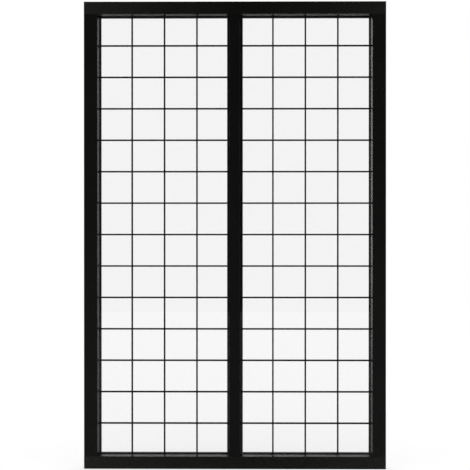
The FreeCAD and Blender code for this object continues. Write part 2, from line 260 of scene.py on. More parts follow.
def new_group(name: str, inputs: dict[str, Any],
              outputs: tuple[str, ...]) -> tuple[bpy.types.NodeTree, Wiring, Any, Any]:
    """Starts a shader node group with named sockets.

    Args:
        name: The group's name.
        inputs: Default values by name. A number makes a float, a triple a vector.
        outputs: The names of the numbers that it puts out.

    Returns:
        The group, its wiring, its input node and its output node.
    """
    tree = bpy.data.node_groups.new(name, "ShaderNodeTree")
    for label, value in inputs.items():
        kind = "NodeSocketVector" if isinstance(value, tuple) else "NodeSocketFloat"
        socket = tree.interface.new_socket(label, in_out="INPUT", socket_type=kind)
        socket.default_value = value
    for label in outputs:
        tree.interface.new_socket(label, in_out="OUTPUT", socket_type="NodeSocketFloat")
    wiring = Wiring(tree)
    return tree, wiring, wiring.add("NodeGroupInput"), wiring.add("NodeGroupOutput")


class Effects:
    """Surface effects that several finishes share, each a node group built once."""

    def __init__(self) -> None:
        """Builds the groups."""
        self.peel = self._peel()
        self.drawn = self._drawn()
        self.sawn = self._sawn()
        self.dust = self._dust()

    def _peel(self) -> bpy.types.NodeTree:
        """Builds the skin of a powder coat: soft peel, fine grain and slow clouds.

        Returns:
            The group. Height is in grain heights, Tone and Gloss swing about one.
        """
        tree, w, source, sink = new_group(
            "powder_peel", {"Peel": 900.0, "Grain": 5200.0, "Cloud": 5.0},
            ("Height", "Tone", "Gloss"))
        place = w.place()
        peel = w.noise(place, source.outputs["Peel"], 1.0)
        grain = w.noise(place, source.outputs["Grain"], 2.0)
        cloud = w.noise(place, source.outputs["Cloud"], 3.0, 0.55)
        height = w.math("ADD", w.times(peel, 0.75), w.times(grain, 0.25))
        w.feed(sink.inputs["Height"], height)
        w.feed(sink.inputs["Tone"], w.remap(cloud, 0.3, 0.7, 0.86, 1.14))
        swing = w.math("ADD", cloud, w.times(grain, 0.4))
        w.feed(sink.inputs["Gloss"], w.remap(swing, 0.5, 0.9, 0.92, 1.1))
        return tree

    def _drawn(self) -> bpy.types.NodeTree:
        """Builds the faint lines that a die leaves along a length.

        Returns:
            The group. Stretch shortens the pattern along the length.
        """
        tree, w, source, sink = new_group(
            "drawn_lines", {"Stretch": (1.0, 1.0, 1.0), "Scale": 420.0}, ("Height",))
        stretched = w.add("VectorMath", {0: w.place(), 1: source.outputs["Stretch"]},
                          operation="MULTIPLY").outputs[0]
        w.feed(sink.inputs["Height"], w.noise(stretched, source.outputs["Scale"], 2.0, 0.6))
        return tree

    def _sawn(self) -> bpy.types.NodeTree:
        """Builds a sawn end: bare metal past a distance in X, with the blade's arcs.

        Returns:
            The group. Mask is one on the cut, Height holds the arcs.
        """
        tree, w, source, sink = new_group(
            "sawn_end", {"Cut At": cad_box[1][0] - 0.05 * MM, "Blade Radius": 0.15},
            ("Mask", "Height"))
        parts = w.add("SeparateXYZ", {0: w.place()}).outputs
        reach = w.math("ABSOLUTE", parts[0])
        w.feed(sink.inputs["Mask"], w.math("GREATER_THAN", reach, source.outputs["Cut At"]))
        centre = w.add("CombineXYZ", {1: parts[1], 2: parts[2]}).outputs[0]
        hub = w.add("CombineXYZ", {1: source.outputs["Blade Radius"],
                                   2: source.outputs["Blade Radius"]}).outputs[0]
        radius = w.add("VectorMath", {0: centre, 1: hub}, operation="DISTANCE").outputs["Value"]
        ring = w.add("CombineXYZ", {0: radius}).outputs[0]
        w.feed(sink.inputs["Height"], w.noise(ring, 1600.0, 3.0, 0.65))
        return tree

    def _dust(self) -> bpy.types.NodeTree:
        """Builds a thin film of dust that lies on faces turned up.

        Returns:
            The group. Mask is how much dust lies there.
        """
        tree, w, source, sink = new_group("lying_dust", {"Amount": 0.1}, ("Mask",))
        up = w.add("SeparateXYZ", {0: w.add("NewGeometry").outputs["Normal"]}).outputs[2]
        lying = w.remap(up, 0.3, 0.95, 0.05, 1.0)
        patch = w.remap(w.noise(w.place(), 38.0, 5.0, 0.65), 0.35, 0.75, 0.2, 1.0)
        amount = w.times(w.times(lying, patch), source.outputs["Amount"])
        w.feed(sink.inputs["Mask"], amount)
        return tree


def new_material(name: str) -> tuple[bpy.types.Material, Wiring, bpy.types.Node]:
    """Starts a material with one principled surface.

    Args:
        name: The material's name.

    Returns:
        The material, its wiring and its surface node.
    """
    material = bpy.data.materials.new(name)
    material.use_nodes = True
    material.node_tree.nodes.clear()
    wiring = Wiring(material.node_tree)
    surface = wiring.add("BsdfPrincipled")
    wiring.add("OutputMaterial", {"Surface": surface.outputs[0]})
    return material, wiring, surface


# Finishes


@dataclass(frozen=True)
class PowderCoat:
    """Satin black powder coat on an extruded length.

    The coat shows a soft peel, and the die's lines come through it faintly. Its colour may
    be painted lighter towards the ends, a painted highlight for how light falls there.
    Lengths that are cut after coating show bare metal where sawn.
    """

    name: str
    run: Run
    colour: Colour = (0.0046, 0.0046, 0.0042)
    roughness: float = 0.32
    cut_ends: bool = False
    # Painted highlight: how much lighter the colour is painted towards the ends, and the X it
    # grows from.
    painted_end_light: float = 0.0
    painted_end_light_middle: float = 0.05
    peel_height: float = 0.000018
    line_height: float = 0.000004
    metal: Colour = (0.62, 0.63, 0.64)
    saw_height: float = 0.00003
    dust: Colour = DUST
    dust_amount: float = 0.05
    dust_roughness: float = 0.8

    def build(self, effects: Effects) -> bpy.types.Material:
        """Builds the coat.

        Args:
            effects: The shared effects.

        Returns:
            The material.
        """
        material, w, surface = new_material(self.name)
        peel = w.group(effects.peel)
        lines = w.group(effects.drawn, {"Stretch": self.run.stretch()})["Height"]
        dust = w.group(effects.dust, {"Amount": self.dust_amount})["Mask"]
        # Painted highlight: the colour is multiplied up with the square of the distance in X
        # from a middle, lighter towards the ends.
        far = w.math("SUBTRACT", w.add("SeparateXYZ", {0: w.place()}).outputs[0],
                     self.painted_end_light_middle)
        painted_end_light_gain = w.math("ADD", w.times(w.times(far, far), self.painted_end_light), 1.0)
        coat = w.scaled(self.colour, w.times(peel["Tone"], painted_end_light_gain))
        colour = w.mixed(dust, coat, self.dust)
        rough = w.blended(dust, w.times(peel["Gloss"], self.roughness), self.dust_roughness)
        height = w.math("ADD", w.times(peel["Height"], self.peel_height),
                        w.times(lines, self.line_height))
        if self.cut_ends:
            sawn = w.group(effects.sawn)
            colour = w.mixed(sawn["Mask"], colour, self.metal)
            rough = w.blended(sawn["Mask"], rough, w.remap(sawn["Height"], 0.3, 0.7, 0.28, 0.5))
            arcs = w.times(sawn["Height"], self.saw_height)
            height = w.blended(sawn["Mask"], height, arcs)
            w.feed(surface.inputs["Metallic"], sawn["Mask"])
        w.finish(surface, colour, rough, height)
        return material


@dataclass(frozen=True)
class BarCoat:
    """Matt black coat of the flat grid bars."""

    name: str = "bar_coat"
    colour: Colour = (0.0060, 0.0060, 0.0057)
    roughness: float = 0.45
    peel_height: float = 0.000004
    dust: Colour = DUST
    dust_amount: float = 0.06

    def build(self, effects: Effects) -> bpy.types.Material:
        """Builds the coat.

        Args:
            effects: The shared effects.

        Returns:
            The material.
        """
        material, w, surface = new_material(self.name)
        peel = w.group(effects.peel, {"Peel": 1500.0, "Cloud": 14.0})
        dust = w.group(effects.dust, {"Amount": self.dust_amount})["Mask"]
        colour = w.mixed(dust, w.scaled(self.colour, peel["Tone"]), self.dust)
        w.finish(surface, colour, w.times(peel["Gloss"], self.roughness),
                 w.times(peel["Height"], self.peel_height))
        return material


@dataclass(frozen=True)
class BondTape:
    """Black foam tape that bonds the bars to the glass, with fine open cells."""

    name: str = "bond_tape"
    colour: Colour = (0.0075, 0.0075, 0.0075)
    roughness: float = 0.8
    cell_depth: float = 0.00003

    def build(self, effects: Effects) -> bpy.types.Material:
        """Builds the tape.

        Args:
            effects: The shared effects.

        Returns:
            The material.
        """
        material, w, surface = new_material(self.name)
        cells = w.add("TexVoronoi", {"Vector": w.place(), "Scale": 7000.0}).outputs["Distance"]
        cloud = w.group(effects.peel, {"Cloud": 30.0})["Tone"]
        tone = w.times(w.remap(cells, 0.1, 0.6, 1.15, 0.7), cloud)
        height = w.times(cells, self.cell_depth)
        w.finish(surface, w.scaled(self.colour, tone), self.roughness, height, 0.8)
        return material


@dataclass(frozen=True)
class ClearGlass:
    """Clear toughened glass with ground edges that look green and frosted.

    A slow waviness from toughening swings its reflections, and lamps shine through it.
    """

    name: str = "clear_glass"
    tint: Colour = (0.971, 0.972, 0.970)
    edge_tint: Colour = (0.52, 0.74, 0.64)
    shade_tint: Colour = (0.9, 0.92, 0.91)
    index: float = 1.5
    wave_height: float = 0.000002

    def build(self, effects: Effects) -> bpy.types.Material:
        """Builds the glass.

        Args:
            effects: The shared effects; not used.

        Returns:
            The material.
        """
        material, w, surface = new_material(self.name)
        turn = w.add("SeparateXYZ", {0: w.add("TexCoord").outputs["Normal"]}).outputs[1]
        edge = w.math("LESS_THAN", w.math("ABSOLUTE", turn), 0.9)
        film = w.remap(w.noise(w.place(), 9.0, 4.0, 0.6), 0.4, 0.8, 0.0, 0.012)
        grind = w.remap(w.noise(w.place(), 2600.0, 2.0), 0.3, 0.7, 0.28, 0.42)
        wave = w.noise(w.place(), 4.0, 0.0)
        w.finish(surface, w.mixed(edge, self.tint, self.edge_tint),
                 w.blended(edge, film, grind), w.times(wave, self.wave_height))
        w.feed(surface.inputs["IOR"], self.index)
        w.feed(surface.inputs["Transmission Weight"], 1.0)
        lamp_ray = w.add("LightPath").outputs["Is Shadow Ray"]
        clear = w.add("BsdfTransparent", {"Color": self.shade_tint})
        both = w.add("MixShader", {0: lamp_ray, 1: surface.outputs[0], 2: clear.outputs[0]})
        output = next(n for n in w.tree.nodes if n.type == "OUTPUT_MATERIAL")
        w.feed(output.inputs["Surface"], both.outputs[0])
        return material


@dataclass(frozen=True)
class SealRubber:
    """Black extruded rubber with fine lines along it and a faint bloom."""

    name: str = "seal_rubber"
    colour: Colour = (0.0052, 0.0052, 0.0052)
    bloom: Colour = (0.016, 0.016, 0.0155)
    roughness: float = 0.5
    line_height: float = 0.000012

    def build(self, effects: Effects) -> bpy.types.Material:
        """Builds the rubber.

        Args:
            effects: The shared effects.

        Returns:
            The material.
        """
        material, w, surface = new_material(self.name)
        across = w.group(effects.drawn, {"Scale": 2600.0})["Height"]
        patch = w.remap(w.noise(w.place(), 45.0, 4.0, 0.6), 0.45, 0.8, 0.0, 0.5)
        rough = w.math("ADD", w.times(patch, 0.25), self.roughness)
        w.finish(surface, w.mixed(patch, self.colour, self.bloom), rough,
                 w.times(across, self.line_height))
        return material


@dataclass(frozen=True)
class BlockPlastic:
    """Grey moulded plastic of the setting blocks, with a spark-eroded grain."""

    name: str = "block_plastic"
    colour: Colour = (0.052, 0.054, 0.056)
    roughness: float = 0.55
    grain_height: float = 0.00002

    def build(self, effects: Effects) -> bpy.types.Material:
        """Builds the plastic.

        Args:
            effects: The shared effects.

        Returns:
            The material.
        """
        material, w, surface = new_material(self.name)
        peel = w.group(effects.peel, {"Peel": 2400.0, "Cloud": 60.0})
        w.finish(surface, w.scaled(self.colour, peel["Tone"]),
                 w.times(peel["Gloss"], self.roughness),
                 w.times(peel["Height"], self.grain_height))
        return material


@dataclass(frozen=True)
class PlatedSteel:
    """Bright zinc-plated steel of the joint screws, dulled in patches."""

    name: str = "plated_steel"
    colour: Colour = (0.58, 0.59, 0.60)
    dulled: Colour = (0.40, 0.41, 0.41)
    grain_height: float = 0.000008

    def build(self, effects: Effects) -> bpy.types.Material:
        """Builds the steel.

        Args:
            effects: The shared effects.

        Returns:
            The material.
        """
        material, w, surface = new_material(self.name)
        peel = w.group(effects.peel, {"Peel": 3000.0, "Cloud": 420.0})
        worn = w.remap(peel["Tone"], 0.9, 1.1, 0.0, 1.0)
        w.finish(surface, w.mixed(worn, self.colour, self.dulled),
                 w.remap(worn, 0.0, 1.0, 0.24, 0.42),
                 w.times(peel["Height"], self.grain_height))
        w.feed(surface.inputs["Metallic"], 1.0)
        return material


class Finishes:
    """Every material of the partition, built once."""

    def __init__(self) -> None:
        """Builds the materials from the shared effects."""
        effects = Effects()
        self.rail = PowderCoat("rail_coat", Run.ALONG, cut_ends=True).build(effects)
        self.upright = PowderCoat("upright_coat", Run.UPRIGHT).build(effects)
        # The rails' covers have light painted into their colour, lighter towards their ends.
        self.rail_cover = PowderCoat(
            "rail_cover_coat", Run.ALONG, colour=(0.0053, 0.0053, 0.0043), roughness=0.26,
            cut_ends=True, painted_end_light=8.6).build(effects)
        self.stile_cover = PowderCoat(
            "stile_cover_coat", Run.UPRIGHT, colour=(0.0050, 0.0050, 0.0041),
            roughness=0.26).build(effects)
        # The mullion's cover gets a darker copy of the covers' coat: painted shade, the paint
        # itself is the same.
        self.mullion_cover = PowderCoat(
            "mullion_cover_shaded_coat", Run.UPRIGHT, colour=(0.0030, 0.0030, 0.0025)).build(effects)
        self.bar = BarCoat().build(effects)
        self.tape = BondTape().build(effects)
        self.glass = ClearGlass().build(effects)
        self.rubber = SealRubber().build(effects)
        self.block = BlockPlastic().build(effects)
        self.steel = PlatedSteel().build(effects)


# Surfaces


def shown_mesh(name: str, points: np.ndarray, faces: list[list[int]],
               material: bpy.types.Material, smooth: bool = False) -> bpy.types.Object:
    """Makes an object at the origin from points and faces.

    Args:
        name: The piece's name.
        points: An n by 3 array, in metres.
        faces: Corner numbers of each face, turned outwards.
        material: Its finish.
        smooth: True to shade across the edges that turn little.

    Returns:
        The object, riding on the partition's body.
    """
    mesh = bpy.data.meshes.new(name)
    mesh.from_pydata(points.tolist(), [], faces)
    mesh.update()
    mesh.materials.append(material)
    piece = bpy.data.objects.new(name, mesh)
    bpy.context.scene.collection.objects.link(piece)
    if smooth:
        mesh.shade_smooth()
        mesh.set_sharp_from_angle(angle=math.radians(35.0))
    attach(piece, BODY)
    return piece


def net_faces(rows: int, columns: int, first: int = 0, closed: bool = True) -> np.ndarray:
    """Gives the four-cornered faces of a net of points.

    Point (i, j) has the number first + i * columns + j, and each face joins (i, j),
    (i, j+1), (i+1, j+1) and (i+1, j). In a closed net the last column joins the first.

    Args:
        rows: Points from start to end.
        columns: Points across.
        first: The number of the first point.
        closed: True for a net that closes on itself across.

    Returns:
        An n by 4 array of point numbers.
    """
    span = columns if closed else columns - 1
    i, j = np.meshgrid(np.arange(rows - 1), np.arange(span), indexing="ij")
    ahead = (j + 1) % columns
    quads = np.stack([i * columns + j, i * columns + ahead,
                      (i + 1) * columns + ahead, (i + 1) * columns + j], axis=-1)
    return quads.reshape(-1, 4) + first


def rounded_profile(corners: np.ndarray, steps: int) -> np.ndarray:
    """Rounds the corners of a closed outline.

    Each corner p with radius r becomes an arc that starts at p + r cot(a) b and ends at
    p + r cot(a) c, where b and c point to its neighbours and a is half their angle. The
    arc is drawn as the curve (1-t)^2 s + 2t(1-t) p + t^2 e between its ends s and e.

    Args:
        corners: An n by 3 array of across, depth and radius.
        steps: Points on each arc.

    Returns:
        An array of n times steps points, in the corners' order.
    """
    points, radii = corners[:, :2], corners[:, 2:]
    back = np.roll(points, 1, axis=0) - points
    ahead = np.roll(points, -1, axis=0) - points
    back /= np.linalg.norm(back, axis=1, keepdims=True)
    ahead /= np.linalg.norm(ahead, axis=1, keepdims=True)
    cosine = np.clip((back * ahead).sum(axis=1, keepdims=True), -0.999, 0.999)
    reach = radii / np.tan(np.arccos(cosine) / 2)
    start, end = points + back * reach, points + ahead * reach
    t = np.linspace(0.0, 1.0, steps)[None, :, None]
    arcs = ((1 - t) ** 2 * start[:, None] + 2 * t * (1 - t) * points[:, None]
            + t ** 2 * end[:, None])
    return arcs.reshape(-1, 2)


def evenly(middle: float, pitch: float, count: int) -> np.ndarray:
    """Gives places spaced evenly about a middle, from the lowest up."""
    return middle + pitch * (np.arange(count) - (count - 1) / 2)


# Grid of flat bars


@dataclass
class BarLattice:
    """A grid of flat bars on one face of a pane, fused where the bars cross.

    Its outer surface has one height over each point (x, z): the larger of the height of
    the column's section at x and that of the row's section at z.
    """

    side: Side
    face: Face
    columns: np.ndarray
    rows: np.ndarray
    low: tuple[float, float]
    high: tuple[float, float]
    glass_y: float
    bar_width: float = 4.4 * MM
    bar_thickness: float = 1.5 * MM
    tape_thickness: float = 0.3 * MM
    tape_inset: float = 0.25 * MM
    tape_clearance: float = 0.01 * MM
    edge_radius: float = 0.32 * MM
    edge_steps: int = 3

    def section(self, half: float, top: float, radius: float) -> np.ndarray:
        """Gives a bar's section as across and height, from one foot over to the other.

        Args:
            half: Half its width.
            top: Its height.
            radius: The radius of its upper edges.

        Returns:
            An n by 2 array.
        """
        turn = np.linspace(0.0, np.pi / 2, self.edge_steps + 1 if radius else 1)
        rise = np.stack([-half + radius * (1 - np.cos(turn)),
                         top - radius * (1 - np.sin(turn))], axis=1)
        left = np.concatenate([[[-half, 0.0]], rise])
        return np.concatenate([left, left[::-1] * (-1.0, 1.0)])

    def lines(self, middles: np.ndarray, section: np.ndarray, low: float,
              high: float) -> tuple[np.ndarray, np.ndarray, np.ndarray, np.ndarray]:
        """Lays the sections of parallel bars along one axis.

        Args:
            middles: The bars' middles.
            section: One bar's section.
            low: Where the crossing bars start.
            high: Where the crossing bars end.

        Returns:
            The places of the lines, their heights, which of them close the ends, and
            which of the gaps between lines are inside a bar.
        """
        places = (middles[:, None] + section[None, :, 0]).ravel()
        heights = np.tile(section[:, 1], len(middles))
        inside = np.tile(np.arange(len(section)) < len(section) - 1, len(middles))
        places = np.concatenate([[low, low], places, [high, high]])
        heights = np.concatenate([[0.0, 0.0], heights, [0.0, 0.0]])
        ends = np.zeros(len(places), bool)
        ends[[0, -1]] = True
        inside = np.concatenate([[False, False], inside, [False]])
        return places, heights, ends, inside

    def net(self, half: float, base: float, top: float, radius: float,
            inset: float) -> tuple[np.ndarray, list[list[int]]]:
        """Works out the closed surface of the fused bars between two heights.

        Args:
            half: Half the bars' width.
            base: The height of the underside over the glass.
            top: The height of the outer face over the glass.
            radius: The radius of the outer edges.
            inset: How far the bars' ends stand back.

        Returns:
            The points and the faces.
        """
        section = self.section(half, top - base, radius)
        x, hx, end_x, in_x = self.lines(self.columns, section,
                                        self.low[0] + inset, self.high[0] - inset)
        z, hz, end_z, in_z = self.lines(self.rows, section,
                                        self.low[1] + inset, self.high[1] - inset)
        height = np.maximum(hx[:, None], hz[None, :])
        height[end_x, :] = 0.0
        height[:, end_z] = 0.0
        sign = self.face.outward()
        grid_x, grid_z = np.meshgrid(x, z, indexing="ij")
        upper = np.stack([grid_x, self.glass_y + sign * (base + height), grid_z], axis=-1)
        lower = np.stack([grid_x, np.full_like(grid_x, self.glass_y + sign * base), grid_z],
                         axis=-1)
        solid = in_x[:, None] | in_z[None, :]
        quads = net_faces(len(x), len(z), closed=False)[solid.ravel()]
        quads = quads if sign < 0 else quads[:, ::-1]
        points = np.concatenate([upper.reshape(-1, 3), lower.reshape(-1, 3)])
        both = np.concatenate([quads, quads[:, ::-1] + height.size])
        return merged_net(points, both)

    def build(self, finishes: Finishes) -> list[bpy.types.Object]:
        """Builds the coated bars and the tape under them.

        Args:
            finishes: The materials.

        Returns:
            The bars and the tape.
        """
        name = f"{self.side.value}_{self.face.value}_grid"
        half = self.bar_width / 2
        points, faces = self.net(half, self.tape_thickness, self.bar_thickness,
                                 self.edge_radius, 0.0)
        bars = shown_mesh(name + "_bars", points, faces, finishes.bar, smooth=True)
        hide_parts(name)
        points, faces = self.net(half - self.tape_inset, self.tape_clearance,
                                 self.tape_thickness, 0.0, self.tape_inset)
        tape = shown_mesh(name + "_tape", points, faces, finishes.tape)
        return [bars, tape]


def merged_net(points: np.ndarray, quads: np.ndarray) -> tuple[np.ndarray, list[list[int]]]:
    """Joins points that coincide and drops the faces that this closes up.

    Args:
        points: An n by 3 array.
        quads: An m by 4 array of point numbers.

    Returns:
        The points left and the faces, each with three or four corners.
    """
    _, first, number = np.unique(np.round(points / (0.001 * MM)).astype(np.int64), axis=0,
                                 return_index=True, return_inverse=True)
    quads = number.reshape(-1)[quads]
    kept = quads != np.roll(quads, -1, axis=1)
    corners = kept.sum(axis=1)
    full = quads[corners == 4]
    full = full[(full[:, 0] != full[:, 2]) & (full[:, 1] != full[:, 3])]
    three = quads[corners == 3][kept[corners == 3]].reshape(-1, 3)
    three = three[three[:, 0] != three[:, 2]]
    return points[first], full.tolist() + three.tolist()


# Seals


@dataclass
class SealRing:
    """The four straight lengths of rubber seal on one face of a pane.

    A length is its section carried along a line. The section is a pad with two soft lips
    against the glass, a shallow valley between them and a foot in its groove.
    """

    side: Side
    face: Face
    foot_y: float
    glass_y: float
    width: float
    stile_middle: float
    mullion_middle: float
    rail_middle: float
    low: float
    high: float
    joint_gap: float = 0.4 * MM
    foot_width: float = 2.0 * MM
    foot_depth: float = 1.2 * MM
    valley_depth: float = 0.5 * MM
    lip_radius: float = 0.55 * MM

    def section(self) -> np.ndarray:
        """Works out the section, counter-clockwise with its depth away from the seat.

        Returns:
            An n by 2 array of across and Y.
        """
        half, foot = self.width / 2, self.foot_width / 2
        toward = -self.face.outward()
        seat_y = self.foot_y + toward * self.foot_depth
        lip = abs(self.glass_y - seat_y)
        corners = np.array([
            [-half, 0.0, 0.15 * MM],
            [-foot, 0.0, 0.0],
            [-foot, -self.foot_depth, 0.2 * MM],
            [foot, -self.foot_depth, 0.2 * MM],
            [foot, 0.0, 0.0],
            [half, 0.0, 0.15 * MM],
            [half, lip * 0.55, 0.4 * MM],
            [half - 0.7 * MM, lip, self.lip_radius],
            [0.3 * MM, lip, 0.2 * MM],
            [0.0, lip - self.valley_depth, 0.1 * MM],
            [-0.3 * MM, lip, 0.2 * MM],
            [-half + 0.7 * MM, lip, self.lip_radius],
            [-half, lip * 0.55, 0.4 * MM],
        ])
        profile = rounded_profile(corners, 4)
        profile[:, 1] = seat_y + toward * profile[:, 1]
        return profile if toward > 0 else profile[::-1]

    def length(self, middle: np.ndarray, along: np.ndarray, across: np.ndarray,
               first: int) -> tuple[np.ndarray, list[list[int]]]:
        """Carries the section along a line.

        Point (i, j) is middle + across * s_j + Y * d_j + along * t_i, where (s, d) is the
        section and t is 0 at the start and 1 at the end.

        Args:
            middle: The start of the line, in X and Z.
            along: From the start of the line to its end.
            across: The direction of the section's width.
            first: The number of the first point.

        Returns:
            The points and the faces, with both ends closed.
        """
        profile = self.section()
        ring = middle + profile[:, :1] * across + profile[:, 1:] * np.array([0.0, 1.0, 0.0])
        points = np.concatenate([ring, ring + along])
        count = len(ring)
        start = np.arange(count) + first
        faces = [*net_faces(2, count, first).tolist(), start[::-1].tolist(),
                 (start + count).tolist()]
        turned = np.dot(np.cross(across, (0.0, 1.0, 0.0)), along) > 0
        return points, faces if turned else [face[::-1] for face in faces]

    def build(self, finishes: Finishes) -> bpy.types.Object:
        """Builds the ring of four lengths.

        Args:
            finishes: The materials.

        Returns:
            The piece.
        """
        sign = self.side.sign()
        up = np.array([0.0, 0.0, self.high - self.low])
        edges = sorted((sign * (self.stile_middle - self.width / 2),
                        sign * (self.mullion_middle + self.width / 2)))
        start, end = edges[0] + self.joint_gap, edges[1] - self.joint_gap
        level = np.array([end - start, 0.0, 0.0])
        x_axis, z_axis = np.array([1.0, 0.0, 0.0]), np.array([0.0, 0.0, 1.0])
        runs = [
            (np.array([sign * self.stile_middle, 0.0, self.low]), up, x_axis),
            (np.array([sign * self.mullion_middle, 0.0, self.low]), up, x_axis),
            (np.array([start, 0.0, self.rail_middle]), level, z_axis),
            (np.array([start, 0.0, self.low + self.high - self.rail_middle]), level, z_axis),
        ]
        points, faces, first = [], [], 0
        for middle, along, across in runs:
            more, sides = self.length(middle, along, across, first)
            points.append(more)
            faces += sides
            first += len(more)
        node = f"{self.side.value}_{self.face.value}_seal"
        seal = shown_mesh(node + "_lips", np.concatenate(points), faces, finishes.rubber,
                          smooth=True)
        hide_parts(node)
        return seal


# Joint screws


@dataclass
class JointScrew:
    """A screw through a rail into an upright's port: six-lobed socket, head and thread.

    Its surface is r(s, a) = R(s) (1 + lobe(s) cos 6a) with the thread's ridge added, at
    the height h(s), where a goes round the screw and s from the socket to the tip.
    """

    name: str
    x: float
    y: float
    seat_z: float
    upward: float
    head_radius: float = 3.6 * MM
    head_height: float = 2.4 * MM
    shank_radius: float = 1.75 * MM
    thread_radius: float = 2.05 * MM
    shank_length: float = 28.0 * MM
    thread_pitch: float = 1.6 * MM
    bare_neck: float = 2.0 * MM
    tip_length: float = 3.0 * MM
    socket_radius: float = 1.5 * MM
    around: int = 24
    shank_rings: int = 71

    def outline(self) -> np.ndarray:
        """Gives the rings from the socket to the tip, with heights over the head's seat.

        Returns:
            Three rows, with the radius, the height and the lobe share of each ring.
        """
        socket, top = self.socket_radius, self.head_height
        head = np.array([
            [0.0, top - 1.3 * MM, 0.0],
            [socket * 0.9, top - 1.2 * MM, 0.16],
            [socket, top - 0.15 * MM, 0.16],
            [socket * 1.12, top, 0.10],
            [self.head_radius * 0.72, top, 0.0],
            [self.head_radius * 0.93, top - 0.35 * MM, 0.0],
            [self.head_radius, top - 1.0 * MM, 0.0],
            [self.head_radius, 0.2 * MM, 0.0],
            [self.head_radius - 0.15 * MM, 0.0, 0.0],
            [self.shank_radius, 0.0, 0.0],
        ])
        down = np.linspace(0.0, self.shank_length, self.shank_rings + 1)[1:]
        taper = np.clip((self.shank_length - down) / self.tip_length, 0.0, 1.0)
        shank = np.stack([self.shank_radius * taper, -down, np.zeros_like(down)], axis=1)
        return np.concatenate([head, shank]).T

    def build(self, finishes: Finishes) -> bpy.types.Object:
        """Builds the screw.

        Args:
            finishes: The materials.

        Returns:
            The piece.
        """
        radius, height, lobe = self.outline()
        angle = np.linspace(0.0, 2 * np.pi, self.around, endpoint=False)
        ridge = np.abs((angle[None, :] / (2 * np.pi) - height[:, None] / self.thread_pitch)
                       % 1.0 - 0.5) * 2
        grown = np.where(height[:, None] < -self.bare_neck, ridge ** 3, 0.0)
        share = np.clip(radius / self.shank_radius, 0.0, 1.0)[:, None]
        reach = (radius[:, None] * (1 + lobe[:, None] * np.cos(6 * angle)[None, :])
                 + grown * share * (self.thread_radius - self.shank_radius))
        points = np.stack([
            self.x + reach * np.cos(angle),
            self.y + reach * np.sin(angle) * self.upward,
            self.seat_z - self.upward * np.broadcast_to(height[:, None], reach.shape),
        ], axis=-1).reshape(-1, 3)
        points, faces = merged_net(points, net_faces(len(height), self.around)[:, ::-1])
        screw = shown_mesh(self.name, points, faces, finishes.steel, smooth=True)
        return screw


# Rail covers


@dataclass
class RailCover:
    """A rail's cover, the lip that holds its seal milled away where the uprights stand.

    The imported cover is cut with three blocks, one at each stile and one at the mullion.
    """

    node: str
    clearance: float = 0.1 * MM
    margin: float = 2.0 * MM

    def blocks(self) -> bpy.types.Object:
        """Makes the three blocks, with corner 4i + 2j + k of each at (x_i, y_j, z_k).

        Returns:
            The blocks as one object.
        """
        cover, stile = node_box(self.node), node_box("right_stile")
        end = stile[1, 0] + self.margin
        side = node_box("right_stile_cover")[0, 0] - self.clearance
        middle = node_box("mullion_cover")[1, 0] + self.clearance
        depth = (stile[0, 1], cover[1, 1] + self.margin)
        height = np.clip(cover[:, 2] + (-self.margin, self.margin), *stile[:, 2])
        spans = ((-end, -side), (-middle, middle), (side, end))
        corners = [np.stack(np.meshgrid(span, depth, height, indexing="ij"), axis=-1)
                   for span in spans]
        box = np.array([(0, 1, 3, 2), (4, 6, 7, 5), (0, 4, 5, 1), (2, 3, 7, 6),
                        (0, 2, 6, 4), (1, 5, 7, 3)])
        faces = [box + 8 * number for number in range(len(spans))]
        mesh = bpy.data.meshes.new("milling_blocks")
        mesh.from_pydata(np.reshape(corners, (-1, 3)).tolist(), [],
                         np.concatenate(faces).tolist())
        cutter = bpy.data.objects.new("milling_blocks", mesh)
        bpy.context.scene.collection.objects.link(cutter)
        return cutter

    def build(self, finishes: Finishes) -> bpy.types.Object:
        """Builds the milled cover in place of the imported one.

        Args:
            finishes: The materials.

        Returns:
            The piece.
        """
        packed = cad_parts[self.node].data
        points = np.empty(len(packed.vertices) * 3)
        packed.vertices.foreach_get("co", points)
        corners = np.empty(len(packed.loops), np.int32)
        packed.loops.foreach_get("vertex_index", corners)
        points, faces = merged_net(points.reshape(-1, 3),
                                   corners.reshape(-1, 3)[:, [0, 1, 2, 2]])
        cover = shown_mesh(self.node + "_milled", points, faces, finishes.rail_cover)
        cutter = self.blocks()
        milling = cover.modifiers.new("milling", "BOOLEAN")
        milling.operation, milling.solver, milling.object = "DIFFERENCE", "EXACT", cutter
        settled = cover.evaluated_get(bpy.context.evaluated_depsgraph_get())
        cover.data = bpy.data.meshes.new_from_object(settled)
        cover.data.shade_flat()
        cover.modifiers.remove(milling)
        bpy.data.objects.remove(cutter)
        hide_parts(self.node)
        return cover


# Sub-assemblies


